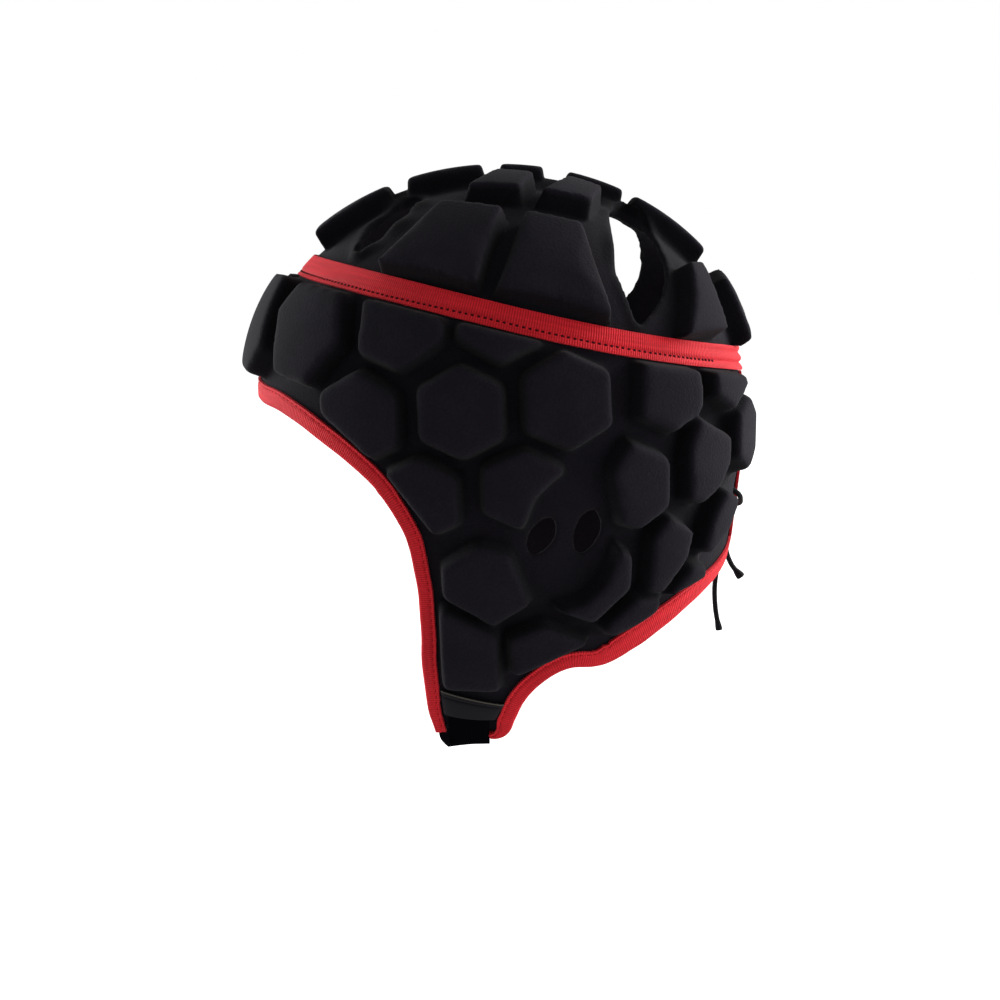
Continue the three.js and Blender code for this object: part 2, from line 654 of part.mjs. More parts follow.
function strapPath(topDrop) {
  const lift = WALL + GAP + STRAP_THICKNESS / 2;
  const drops = [topDrop, (topDrop + FLAP_BOTTOM) / 2, FLAP_BOTTOM];
  const upright = drops.map((drop) => raised(onFlank(STRAP_BACK, drop), lift));
  const under = STRAP_UNDER_CHIN.map((row) => point(row.out, row.back, -row.drop));
  const left = [...upright, ...under];
  const right = left.slice(0, -1).reverse().map((p) => point(-p.x, p.y, p.z));
  const curve = new THREE.CatmullRomCurve3([...left, ...right], false, 'centripetal');
  const level = point(0, 1, 0);
  const flapAcross = wallFrame(onFlank(STRAP_BACK, FLAP_BOTTOM)).across;
  return curve.getSpacedPoints(STRAP_STEPS).map((at) => {
    const onFlap = point(flapAcross.x * Math.sign(at.x), flapAcross.y, flapAcross.z);
    const share = THREE.MathUtils.smoothstep(-at.z, FLAP_BOTTOM, STRAP_LEVEL);
    return { at, wide: onFlap.lerp(level, share) };
  });
}

// A cover over one end of the strap, with a pocket for it, between the two rim tapes
function strapCover(side) {
  const [from, to] = side > 0 ? [0, FAR] : [-FAR, 0];
  const patch = sidePrism(COVER_CORNERS.map((corner) => new THREE.Vector2(corner.back, -corner.drop)));
  const pocket = sweptBand(strapPath(STRAP_TOP - 2 * GAP), STRAP_HALF + GAP, STRAP_THICKNESS + 2 * GAP);
  return layer(WALL + GAP, WALL + 3 * GAP + STRAP_THICKNESS + COVER_THICKNESS)
    .intersect(patch)
    .intersect(block(from, to, -FAR, FAR, -FAR, FAR))
    .intersect(insideTapes)
    .subtract(solid(pocket));
}

// The lace's way: in and out of the holes and across the slit, from the knot and back to it
function laceRoute() {
  const [top, middle, low] = LACE_ROWS;
  const spot = (across, drop, lift) => raised(onBack(across, drop), lift);
  const enter = (side, drop, from) => {
    const across = side * (LACE_HOLE_ACROSS - LACE_BEND.inward);
    const lean = Math.sign(from - drop) * LACE_BEND.along;
    return [
      spot(across, drop + lean, LACE_OUTSIDE - LACE_BEND.outsideDip),
      spot(side * LACE_HOLE_ACROSS, drop, WALL / 2),
      spot(across, drop - lean, LACE_INSIDE + LACE_BEND.insideDip),
    ];
  };
  const crossing = (side, fromDrop, toDrop, lift, extra) => {
    const step = (toDrop - fromDrop) / 4;
    return [
      spot(side * LACE_SPAN, fromDrop + step, lift),
      spot(0, fromDrop + 2 * step, lift + extra),
      spot(-side * LACE_SPAN, fromDrop + 3 * step, lift),
    ];
  };
  const knot = spot(0, KNOT.drop, KNOT.lift);
  const leads = (side) => KNOT_LEADS.map((lead) => (
    spot(side * lead.across, KNOT.drop - lead.rise, LACE_OUTSIDE)
  ));
  return [
    knot,
    ...leads(1),
    ...enter(1, low, KNOT.drop),
    ...crossing(1, low, middle, LACE_INSIDE, 0),
    ...enter(-1, middle, top).reverse(),
    ...crossing(-1, middle, top, LACE_OUTSIDE, 0),
    ...enter(1, top, middle),
    spot(0, top - LACE_TOP_SAG, LACE_INSIDE),
    ...enter(-1, top, middle).reverse(),
    ...crossing(-1, top, middle, LACE_OUTSIDE, LACE_OVER),
    ...enter(1, middle, top),
    ...crossing(1, middle, low, LACE_INSIDE, -LACE_OVER),
    ...enter(-1, low, KNOT.drop).reverse(),
    ...leads(-1).reverse(),
    knot.clone(),
  ];
}

function rearLace() {
  const knotPlace = raised(onBack(0, KNOT.drop), KNOT.lift);
  const knot = new THREE.SphereGeometry(1, 8, 6);
  knot.scale(KNOT.half, KNOT.halfDepth, KNOT.half).translate(...knotPlace.toArray());
  return solid(cordTube(laceRoute(), LACE_STEPS, LACE_SIDES)).add(solid(knot));
}

// One named mesh for each piece
const headguard = new THREE.Group();

function place(name, piece, finish) {
  const { vertProperties, triVerts } = piece.getMesh();
  const geometry = new THREE.BufferGeometry();
  geometry.setAttribute('position', new THREE.Float32BufferAttribute(vertProperties, 3));
  geometry.setIndex(new THREE.Uint32BufferAttribute(triVerts, 1));
  const mesh = new THREE.Mesh(geometry, new THREE.MeshStandardMaterial(FINISHES[finish]));
  mesh.name = name;
  headguard.add(mesh);
}

place('crown_panel', crownPanel(), 'padding');
place('side_panel', sidePanel(), 'padding');
place('crown_band', crownBand(), 'tape');
place('face_binding', faceBinding(), 'tape');
place('neck_binding_left', neckBinding(1), 'tape');
place('neck_binding_right', neckBinding(-1), 'tape');
place('strap_cover_left', strapCover(1), 'cover');
place('strap_cover_right', strapCover(-1), 'cover');
place('chin_strap', solid(sweptBand(strapPath(STRAP_TOP), STRAP_HALF, STRAP_THICKNESS)), 'webbing');
place('rear_lace', rearLace(), 'lace');
for (const end of LACE_ENDS) {
  const route = end.route.map((p) => point(...p));
  place(end.name, solid(cordTube(route, LACE_END_STEPS, LACE_END_SIDES)), 'lace');
}

export default headguard;
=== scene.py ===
"""Looks of a soft padded headguard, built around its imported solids.

Metres, +Z up, face towards -Y, wearer's left towards +X, origin at the inside top of the crown.
"""

import math

import bpy
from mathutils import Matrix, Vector
from mathutils.bvhtree import BVHTree


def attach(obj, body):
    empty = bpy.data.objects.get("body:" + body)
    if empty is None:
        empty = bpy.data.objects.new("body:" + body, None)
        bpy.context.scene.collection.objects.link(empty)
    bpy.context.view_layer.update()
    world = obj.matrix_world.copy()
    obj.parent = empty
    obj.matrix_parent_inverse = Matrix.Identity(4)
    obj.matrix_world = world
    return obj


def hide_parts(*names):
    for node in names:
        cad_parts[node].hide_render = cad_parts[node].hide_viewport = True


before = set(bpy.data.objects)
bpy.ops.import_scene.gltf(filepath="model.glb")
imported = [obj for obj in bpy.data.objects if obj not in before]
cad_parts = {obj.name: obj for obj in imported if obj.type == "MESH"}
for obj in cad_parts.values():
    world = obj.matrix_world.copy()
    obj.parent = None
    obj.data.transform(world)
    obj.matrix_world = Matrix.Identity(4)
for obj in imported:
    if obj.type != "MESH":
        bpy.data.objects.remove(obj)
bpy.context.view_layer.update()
bpy.ops.object.select_all(action="DESELECT")


# Camera: on the wearer's left, level with the top of the crown and looking a little down at the ear.
# The lens gives the photograph's perspective, close enough that the near ear flap looks large.
CAMERA_PLACE = (0.475, 0.0, -0.030)
CAMERA_PITCH = math.radians(11.7)
CAMERA_LENS = 40.43

bpy.ops.object.camera_add(
    location=CAMERA_PLACE, rotation=(math.pi / 2 - CAMERA_PITCH, 0, math.pi / 2)
)
camera = bpy.context.object
camera.data.lens = CAMERA_LENS
camera.data.sensor_width = 36
bpy.context.scene.camera = camera


# Sewing last: the head shape that the cloth is moulded and sewn on, an ellipsoid over oval sections.
# It is a working shape, so every piece is laid on it by height and it is taken away at the end.
CROWN_DEPTH = 0.080
LAST_BOTTOM = 0.230
LAST_STEPS_ROUND = 192
LAST_STEPS_DOWN = 120
MERGE_DISTANCE = 1e-6
LAST_SECTIONS = [
    {"drop": 0.080, "breadth": 0.0770, "front": 0.0970, "back": 0.0970},
    {"drop": 0.110, "breadth": 0.0770, "front": 0.0960, "back": 0.0980},
    {"drop": 0.140, "breadth": 0.0740, "front": 0.0890, "back": 0.0955},
    {"drop": 0.175, "breadth": 0.0685, "front": 0.0800, "back": 0.0890},
    {"drop": 0.230, "breadth": 0.0570, "front": 0.0670, "back": 0.0780},
]


def section_at(drop):
    """The last's half sizes at a drop below the top of the crown."""
    if drop <= CROWN_DEPTH:
        share = math.sqrt(max(0.0, 1 - (1 - drop / CROWN_DEPTH) ** 2))
        return {key: LAST_SECTIONS[0][key] * share for key in ("breadth", "front", "back")}
    index = max(i for i, row in enumerate(LAST_SECTIONS[:-1]) if row["drop"] <= drop)
    upper, lower = LAST_SECTIONS[index], LAST_SECTIONS[index + 1]
    share = (drop - upper["drop"]) / (lower["drop"] - upper["drop"])
    return {key: upper[key] + share * (lower[key] - upper[key]) for key in ("breadth", "front", "back")}


def last_place(turn, drop):
    """The point of the last at a turn from the left ear towards the back, and a drop."""
    section = section_at(drop)
    length = section["front"] if math.sin(turn) < 0 else section["back"]
    return Vector((section["breadth"] * math.cos(turn), length * math.sin(turn), -drop))


# A grid rolled up into the last, because its faces come in the same order in every run
bpy.ops.mesh.primitive_grid_add(x_subdivisions=LAST_STEPS_ROUND, y_subdivisions=LAST_STEPS_DOWN, size=1)
last = bpy.context.object
last.name = "sewing_last"
for vertex in last.data.vertices:
    turn = 2 * math.pi * (vertex.co.x + 0.5)
    level = math.pi * vertex.co.y
    drop = CROWN_DEPTH * (1 - math.sin(level))
    if level < 0:
        drop = CROWN_DEPTH - level / (math.pi / 2) * (LAST_BOTTOM - CROWN_DEPTH)
    vertex.co = last_place(turn, drop)
bpy.ops.object.mode_set(mode="EDIT")
bpy.ops.mesh.select_all(action="SELECT")
bpy.ops.mesh.remove_doubles(threshold=MERGE_DISTANCE)
bpy.ops.object.mode_set(mode="OBJECT")
last_tree = BVHTree.FromObject(last, bpy.context.evaluated_depsgraph_get())
bpy.data.objects.remove(last)


def last_height(point):
    """The nearest point of the last, the way out of it there, and the height of the point over it."""
    nearest, outward, _, _ = last_tree.find_nearest(point)
    return nearest, outward, (point - nearest).dot(outward)


def on_last(point, height):
    """The point moved to a height over the last."""
    nearest, outward, _ = last_height(point)
    return nearest + outward * height


# Padded panels: closed foam pads moulded on a thin backing, all covered in one matt black stretch knit.
# The crown panel and the side panel are a moulding each, butted at the seam under the red band.
WALL = 0.0025
PAD_TOP = 0.0110
VOXEL = 0.00105
ROUNDING_PASSES = {"crown_panel": 14, "side_panel": 9}
SMOOTHING = 0.5
# Heights over the last: a measured height in the solids, and the even height of the moulded surface
MOULD_HEIGHTS = [
    (0.0005, 0.0),
    (0.0010, WALL),
    (0.0040, WALL),
    (0.0099, PAD_TOP),
]


def along_rows(rows, at):
    """The value at a place on the straight lines between (place, value) rows, held beyond both ends."""
    for (start, first), (end, second) in zip(rows, rows[1:]):
        if at <= end:
            share = max(0.0, (at - start) / (end - start))
            return first + share * (second - first)
    return rows[-1][1]


def eased(share):
    """A share from 0 to 1, with a soft start and a soft end."""
    return share * share * (3 - 2 * share)


def apply_modifiers(piece):
    bpy.context.view_layer.objects.active = piece
    for modifier in list(piece.modifiers):
        bpy.ops.object.modifier_apply(modifier=modifier.name)


def add_modifier(piece, kind, **settings):
    modifier = piece.modifiers.new(kind.title(), kind)
    for key, value in settings.items():
        setattr(modifier, key, value)


def copied_node(node, name):
    """A merged copy of a CAD node's mesh as a piece of its own."""
    piece = bpy.data.objects.new(name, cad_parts[node].data.copy())
    bpy.context.scene.collection.objects.link(piece)
    bpy.ops.object.select_all(action="DESELECT")
    piece.select_set(True)
    bpy.context.view_layer.objects.active = piece
    bpy.ops.object.mode_set(mode="EDIT")
    bpy.ops.mesh.select_all(action="SELECT")
    bpy.ops.mesh.remove_doubles(threshold=MERGE_DISTANCE)
    bpy.ops.object.mode_set(mode="OBJECT")
    return piece


def finish_piece(piece, material, slot, *nodes):
    """Gives a piece its material and smooth shading, puts it on the root body and hides the CAD nodes it
    stands for. The slot is not used.
    """
    piece.data.materials.clear()
    piece.data.materials.append(material)
    bpy.ops.object.select_all(action="DESELECT")
    piece.select_set(True)
    bpy.context.view_layer.objects.active = piece
    bpy.ops.object.shade_smooth()
    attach(piece, "root")
    if nodes:
        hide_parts(*nodes)


def new_material(name, base, roughness, **settings):
    """A new material and its shader, with a colour, a roughness and any other shader values."""
    material = bpy.data.materials.new(name)
    material.use_nodes = True
    shader = material.node_tree.nodes["Principled BSDF"]
    shader.inputs["Base Color"].default_value = (*base, 1)
    shader.inputs["Roughness"].default_value = roughness
    for key, value in settings.items():
        shader.inputs[key.replace("_", " ")].default_value = value
    return material, shader


def add_node(tree, kind, **values):
    """Adds a node and sets its properties, or its inputs by name."""
    node = tree.nodes.new(kind)
    for key, value in values.items():
        if hasattr(node, key):
            setattr(node, key, value)
        else:
            node.inputs[key.replace("_", " ")].default_value = value
    return node


KNIT_COLOUR = (0.0058, 0.0048, 0.0075)
KNIT_WORN = (0.0222, 0.0188, 0.0280)
KNIT_GRAIN = 1150
KNIT_CLOUD = 60
# Painted shade: the knit is painted darker in the grooves between the pads and darkest on the pads' sides.
# A rise from the wall, 0, to the pads' tops, 1, and the share of the knit's colour kept there
KNIT_PAINTED_SHADES = [(0.0, 0.75), (0.12, 0.42), (0.72, 0.42), (0.93, 1.0), (1.0, 1.0)]

knit, knit_shader = new_material(
    "padding_knit", KNIT_COLOUR, 0.9, Sheen_Weight=0.03, Sheen_Roughness=0.6, Specular_IOR_Level=0.06
)
tree = knit.node_tree
place = add_node(tree, "ShaderNodeTexCoord")
grain = add_node(tree, "ShaderNodeTexNoise", Scale=KNIT_GRAIN, Detail=2.0, Roughness=0.6)
cloud = add_node(tree, "ShaderNodeTexNoise", Scale=KNIT_CLOUD, Detail=3.0, Roughness=0.55)
tint = add_node(tree, "ShaderNodeMix", data_type="RGBA")
tint.inputs["A"].default_value = (*KNIT_COLOUR, 1)
tint.inputs["B"].default_value = (*KNIT_WORN, 1)
mottle = add_node(tree, "ShaderNodeMath", operation="MULTIPLY")
bump = add_node(tree, "ShaderNodeBump", Strength=0.6, Distance=0.0004)
tree.links.new(place.outputs["Object"], grain.inputs["Vector"])
tree.links.new(place.outputs["Object"], cloud.inputs["Vector"])
tree.links.new(grain.outputs["Fac"], mottle.inputs[0])
tree.links.new(cloud.outputs["Fac"], mottle.inputs[1])
tree.links.new(mottle.outputs["Value"], tint.inputs["Factor"])
# The pads' rise picks the painted shade of the grooves and the pads' sides from the ramp, multiplied into
# the knit's colour
shade_rise = add_node(tree, "ShaderNodeAttribute", attribute_name="pad_rise")
depth = add_node(tree, "ShaderNodeValToRGB")
for pad_rise, _ in KNIT_PAINTED_SHADES[1:-1]:
    depth.color_ramp.elements.new(pad_rise)
for stop, (_, grey) in zip(depth.color_ramp.elements, KNIT_PAINTED_SHADES):
    stop.color = (grey, grey, grey, 1)
darkened = add_node(tree, "ShaderNodeMix", data_type="RGBA", blend_type="MULTIPLY")
darkened.inputs["Factor"].default_value = 1.0
tree.links.new(shade_rise.outputs["Fac"], depth.inputs["Fac"])
tree.links.new(tint.outputs["Result"], darkened.inputs["A"])
tree.links.new(depth.outputs["Color"], darkened.inputs["B"])
tree.links.new(darkened.outputs["Result"], knit_shader.inputs["Base Color"])
tree.links.new(grain.outputs["Fac"], bump.inputs["Height"])
tree.links.new(bump.outputs["Normal"], knit_shader.inputs["Normal"])

# Crown vents: the knit rolls over their edges as a soft, wavy lip.
# Plan places of a vent's two ends on the left side, half its breadth, and the lip's rise and lean
VENTS = [
    {"top": (0.0145, 0.0530), "tip": (0.0625, 0.0510), "half": 0.0113, "rise": 0.0016, "lean": 0.0008},
    {"top": (0.0185, -0.0320), "tip": (0.0415, -0.0530), "half": 0.0085, "rise": 0.0030, "lean": 0.0040},
]
# A share of a vent's length, and the share of its breadth there
VENT_PROFILE = [(0, 0), (0.03, 0.5), (0.15, 0.8), (0.4, 0.95), (0.65, 1), (0.85, 0.62), (1, 0)]
LIP_REACH = 0.0050
LIP_WAVES = 2.3
LIP_WAVE_SIZE = 0.4
LIP_LEAN_LIMIT = 0.75
LIP_PASSES = 28


def crown_place(across, back):
    """The point of the last's crown at a place in plan."""
    length = LAST_SECTIONS[0]["front"] if back < 0 else LAST_SECTIONS[0]["back"]
    rise = math.sqrt(1 - (across / LAST_SECTIONS[0]["breadth"]) ** 2 - (back / length) ** 2)
    return Vector((across, back, CROWN_DEPTH * (rise - 1)))


def vent_half(vent, share):
    """Half the vent's breadth at a share of its length."""
    return vent["half"] * along_rows(VENT_PROFILE, share)


for vent in VENTS:
    top, tip = crown_place(*vent["top"]), crown_place(*vent["tip"])
    middle = [(a + b) / 2 for a, b in zip(vent["top"], vent["tip"])]
    vent["middle"] = crown_place(*middle)
    outward = last_height(vent["middle"])[1]
    vent["length"] = (tip - top).length
    vent["along"] = (tip - top - outward * (tip - top).dot(outward)).normalized()
    vent["across"] = outward.cross(vent["along"])


def vent_lip(point):
    """How far the lip of a vent lifts a point of the wall, and how far it carries it over the vent."""
    left = Vector((abs(point.x), point.y, point.z))
    lift, carry = 0.0, Vector()
    for vent in VENTS:
        off = left - vent["middle"]
        share = off.dot(vent["along"]) / vent["length"] + 0.5
        aside = off.dot(vent["across"])
        half = vent_half(vent, share)
        beyond = max(-share, share - 1, 0.0) * vent["length"]
        near = 1 - math.hypot(max(abs(aside) - half, 0.0), beyond) / LIP_REACH
        if near > 0:
            wave = 1 + LIP_WAVE_SIZE * math.sin(2 * math.pi * LIP_WAVES * share)
            lift += vent["rise"] * wave * eased(near)
            lean = min(vent["lean"], LIP_LEAN_LIMIT * half) * eased(near)
            carry -= vent["across"] * math.copysign(lean, aside)
    carry.x = math.copysign(1, point.x) * carry.x
    return lift, carry


# Seam of the two panels: a plane that falls towards the back. The pads on both sides of it follow the tape,
# which is sewn a little above the plane in front of the ear and a little below it behind.
SEAM_DROP = 0.0466
SEAM_FALL = 0.2
BOW_MIDDLE = -0.009
BOW_FRONT = {"rise": 0.0020, "length": 0.170}
BOW_REAR = {"rise": -0.0012, "length": 0.095}
BOW_FULL = 0.005
BOW_FADE = 0.011


def seam_bow(back):
    """How far the tape's middle line lies above the seam plane at a distance back."""
    bow = BOW_FRONT if back < BOW_MIDDLE else BOW_REAR
    return bow["rise"] * math.sin(math.pi * min(1.0, abs(back - BOW_MIDDLE) / bow["length"]))


def seam_shift(point):
    """How far a point of a panel is carried up with the tape."""
    above = abs(point.z + SEAM_DROP + SEAM_FALL * point.y)
    near = max(0.0, 1 - max(0.0, above - BOW_FULL) / BOW_FADE)
    return seam_bow(point.y) * eased(near)


# Pads on the crown's midline: the cloth draws them closer together towards the back than in the solids.
# The grooves between them are shallow: half their length across, their height over the last, and their ends
BRIDGE_HALF = 0.010
BRIDGE_HEIGHT = 0.0068
BRIDGE_ENDS = (-0.055, 0.075)
MIDLINE_HALF = 0.016
MIDLINE_FADE = 0.010
# A place back in the solids, and how far it is carried back in the cloth
MIDLINE_SHIFTS = [
    (0.0380, 0.0),
    (0.0440, 0.0016),
    (0.0505, -0.0015),
    (0.0620, 0.0),
    (0.0735, 0.0027),
    (0.0790, 0.0006),
    (0.0840, 0.0),
]


def near_midline(point, half):
    """A share that is 1 within a half breadth of the midline and fades to 0 beyond it."""
    return max(0.0, min(1.0, 1 - (abs(point.x) - half) / MIDLINE_FADE))


def midline_shift(point):
    """How far a point of the crown is carried back with the pads on the midline."""
    return near_midline(point, MIDLINE_HALF) * along_rows(MIDLINE_SHIFTS, point.y)


for node in ("crown_panel", "side_panel"):
    panel = copied_node(node, node + "_moulding")
    add_modifier(panel, "REMESH", mode="VOXEL", voxel_size=VOXEL)
    apply_modifiers(panel)
    lips = panel.vertex_groups.new(name="lips")
    for vertex in panel.data.vertices:
        nearest, _, height = last_height(vertex.co)
        settled = along_rows(MOULD_HEIGHTS, height)
        shift = Vector((0, 0, seam_shift(vertex.co)))
        if node == "crown_panel":
            shift.y = midline_shift(nearest)
            if settled > 0 and BRIDGE_ENDS[0] < nearest.y < BRIDGE_ENDS[1]:
                settled = max(settled, BRIDGE_HEIGHT * near_midline(nearest, BRIDGE_HALF))
        nearest, outward, _ = last_height(vertex.co + shift)
        spot = nearest + outward * settled
        if node == "crown_panel" and settled < (WALL + PAD_TOP) / 2:
            lift, carry = vent_lip(vertex.co)
            spot += carry + outward * lift * min(1.0, settled / WALL)
            if lift > 0:
                lips.add([vertex.index], 1.0, "REPLACE")
        vertex.co = spot
    add_modifier(panel, "SMOOTH", factor=SMOOTHING, iterations=ROUNDING_PASSES[node])
    apply_modifiers(panel)
    add_modifier(panel, "SMOOTH", factor=SMOOTHING, iterations=LIP_PASSES, vertex_group=lips.name)
    apply_modifiers(panel)
    panel.vertex_groups.clear()
    # Each point's rise over the wall, which the knit reads to paint shade into the grooves and onto the
    # pads' sides
    rise = panel.data.attributes.new("pad_rise", "FLOAT", "POINT")
    for vertex in panel.data.vertices:
        height = last_height(vertex.co)[2]
        rise.data[vertex.index].value = (height - WALL) / (PAD_TOP - WALL)
    finish_piece(panel, knit, "padding", node)


# Red band: a flat ribbed tape sewn over the seam of the two panels, from one edge of the back slit
# round the front to the other. One row of dark stitches shows along its lower third.
SEAM_RADIUS = 0.085
BAND_HALF = 0.0044
BAND_HEIGHT = 0.0034
TAPE_THICKNESS = 0.0011
EDGE_ROUNDING = 0.3
SLIT_HALF = 0.006
# Half the last's breadth where the band ends at the slit
BAND_END_BREADTH = 0.073
BAND_STEPS = 220
BAND_STEPS_ACROSS = 28
BAND_LENGTH = 0.52
# The stitches: a place back and how far above the tape's middle line they run there, lower at the front
STITCH_LINE = [(-0.040, -0.0028), (-0.005, -0.0018)]
STITCH_PITCH = 0.0021
STITCH_AHEAD = 0.001
# Length, width and depth of one stitch
BAND_STITCH = (0.0014, 0.0011, 0.0005)
STITCHES_SEEN = 0.42
PLANE_PASSES = 8
PUCKER_FROM = 0.38
PUCKER_HEIGHT = 0.0005
PUCKER_WAVES = 2.2
PUCKER_START = 0.15
CHANNEL_DEPTH = 0.0004
CHANNEL_HALF = 0.0009


def on_seam(turn, above, height):
    """A point at a height over the last, and a distance above the tape's middle line, at a turn."""
    point = last_place(turn + SEAM_FALL * math.cos(turn) * above / SEAM_RADIUS, SEAM_DROP)
    for _ in range(PLANE_PASSES):
        point.z = -SEAM_DROP - SEAM_FALL * point.y + seam_bow(point.y) + above
        point = on_last(point, height)
    return point


def strip(name, along, across, length, placed):
    """A grid laid along a path: placed gives the point for shares along it and across it.

    Its map runs in metres along the path, so that one cloth has the same weave on every strip.
    """
    bpy.ops.mesh.primitive_grid_add(x_subdivisions=along, y_subdivisions=across, size=1)
    piece = bpy.context.object
    piece.name = name
    for corner in piece.data.uv_layers.active.data:
        corner.uv.x *= length
    for vertex in piece.data.vertices:
        vertex.co = placed(vertex.co.x + 0.5, vertex.co.y + 0.5)
    return piece


def facing_out(piece):
    """Merges a piece's doubled points and turns all its faces outwards."""
    bpy.context.view_layer.objects.active = piece
    bpy.ops.object.mode_set(mode="EDIT")
    bpy.ops.mesh.select_all(action="SELECT")
    bpy.ops.mesh.remove_doubles(threshold=MERGE_DISTANCE)
    bpy.ops.mesh.normals_make_consistent(inside=False)
    bpy.ops.object.mode_set(mode="OBJECT")


def thickened(piece, thickness):
    """Gives a laid strip its thickness, half to each side, with rounded edges."""
    add_modifier(piece, "SOLIDIFY", thickness=thickness, offset=0)
    add_modifier(piece, "BEVEL", width=thickness * EDGE_ROUNDING, segments=2, limit_method="ANGLE")
    apply_modifiers(piece)
    facing_out(piece)


def joined(pieces):
    """Several meshes made into one piece, which keeps the first one's name."""
    bpy.ops.object.select_all(action="DESELECT")
    for piece in pieces:
        piece.select_set(True)
    bpy.context.view_layer.objects.active = pieces[0]
    bpy.ops.object.join()
    return pieces[0]


def stitch_row(name, places, size):
    """Stitches of one thread at places, each given by its point, the way along and the way out."""
    length, width, depth = size
    bpy.ops.mesh.primitive_uv_sphere_add(segments=8, ring_count=5, radius=0.5)
    first = bpy.context.object
    first.name = name
    shape = [vertex.co.copy() for vertex in first.data.vertices]
    stitches = []
    for point, along, outward in places:
        stitch = first if not stitches else bpy.data.objects.new(name, first.data.copy())
        if stitches:
            bpy.context.scene.collection.objects.link(stitch)
        along = along.normalized()
        across = outward.cross(along).normalized()
        for vertex, spot in zip(stitch.data.vertices, shape):
            lean = along * (spot.x * length) + across * (spot.y * width) + outward * (spot.z * depth)
            vertex.co = point + lean
        stitches.append(stitch)
    return joined(stitches)


# The tape's red, and a darker copy of it painted into the ribs' hollows and into lengthwise creases as
# painted shade; fine noise adds random tone
TAPE_RED = (0.92, 0.024, 0.038)
TAPE_PAINTED_SHADE = (0.44, 0.008, 0.013)
RIB_PITCH = 0.00085
FUZZ_SCALE = 1500
FUZZ_SHARE = 0.8
STREAK_SCALE = (40, 9, 1)
DARK_THREAD = (0.060, 0.004, 0.007)

tape_cloth, tape_shader = new_material(
    "ribbed_tape",
    TAPE_RED,
    0.7,
    Sheen_Weight=0.3,
    Sheen_Roughness=0.45,
    Sheen_Tint=(1.0, 0.25, 0.3, 1),
    Specular_IOR_Level=0.12,
)
tree = tape_cloth.node_tree
chart = add_node(tree, "ShaderNodeTexCoord")
split = add_node(tree, "ShaderNodeSeparateXYZ")
turns = add_node(tree, "ShaderNodeMath", operation="MULTIPLY")
turns.inputs[1].default_value = 2 * math.pi / RIB_PITCH
wave = add_node(tree, "ShaderNodeMath", operation="SINE")
lift = add_node(tree, "ShaderNodeMapRange", From_Min=-1.0, From_Max=1.0)
fuzz = add_node(tree, "ShaderNodeTexNoise", Scale=FUZZ_SCALE, Detail=2.0)
stretched = add_node(tree, "ShaderNodeMapping")
stretched.inputs["Scale"].default_value = STREAK_SCALE
# Stretched noise paints lengthwise creases darker, as painted shade
streak = add_node(tree, "ShaderNodeTexNoise", Scale=1.0, Detail=3.0)
shade = add_node(tree, "ShaderNodeMath", operation="MULTIPLY")
blend = add_node(tree, "ShaderNodeMath", operation="MULTIPLY_ADD")
blend.inputs[1].default_value = FUZZ_SHARE
tint = add_node(tree, "ShaderNodeMix", data_type="RGBA")
tint.inputs["A"].default_value = (*TAPE_PAINTED_SHADE, 1)
tint.inputs["B"].default_value = (*TAPE_RED, 1)
bump = add_node(tree, "ShaderNodeBump", Strength=0.7, Distance=0.0002)
tree.links.new(chart.outputs["UV"], split.inputs["Vector"])
tree.links.new(split.outputs["X"], turns.inputs[0])
tree.links.new(turns.outputs["Value"], wave.inputs[0])
tree.links.new(wave.outputs["Value"], lift.inputs["Value"])
tree.links.new(chart.outputs["Object"], fuzz.inputs["Vector"])
tree.links.new(fuzz.outputs["Fac"], blend.inputs[0])
tree.links.new(lift.outputs["Result"], blend.inputs[2])
tree.links.new(chart.outputs["UV"], stretched.inputs["Vector"])
tree.links.new(stretched.outputs["Vector"], streak.inputs["Vector"])
tree.links.new(blend.outputs["Value"], shade.inputs[0])
tree.links.new(streak.outputs["Fac"], shade.inputs[1])
tree.links.new(shade.outputs["Value"], tint.inputs["Factor"])
tree.links.new(tint.outputs["Result"], tape_shader.inputs["Base Color"])
tree.links.new(blend.outputs["Value"], bump.inputs["Height"])
tree.links.new(bump.outputs["Normal"], tape_shader.inputs["Normal"])

thread, _ = new_material("dark_thread", DARK_THREAD, 0.9, Specular_IOR_Level=0.1)

slit_turn = math.asin(SLIT_HALF / BAND_END_BREADTH)
band_from = math.pi / 2 - slit_turn
band_sweep = 2 * math.pi - 2 * slit_turn


def band_turn(share):
    """The turn round the last at a share of the band's length, from the slit's left edge."""
    return band_from - share * band_sweep


def stitch_line(share):
    """How far above the tape's middle line the stitches run at a share of its length."""
    return along_rows(STITCH_LINE, last_place(band_turn(share), SEAM_DROP).y)


def band_ripple(share, across):
    """The stitches pull a channel into the tape, and its ends pucker where the slit draws them in."""
    near_end = max(0.0, (abs(share - 0.5) - PUCKER_FROM) / (0.5 - PUCKER_FROM))
    pucker = PUCKER_HEIGHT * near_end * math.sin(2 * math.pi * (PUCKER_WAVES * across + PUCKER_START))
    off_stitches = ((2 * across - 1) * BAND_HALF - stitch_line(share)) / CHANNEL_HALF
    return pucker - CHANNEL_DEPTH * math.exp(-(off_stitches**2))


band = strip(
    "crown_band_tape",
    BAND_STEPS,
    BAND_STEPS_ACROSS,
    BAND_LENGTH,
    lambda u, v: on_seam(band_turn(u), (2 * v - 1) * BAND_HALF, BAND_HEIGHT + band_ripple(u, v)),
)
thickened(band, TAPE_THICKNESS)
finish_piece(band, tape_cloth, "tape", "crown_band")

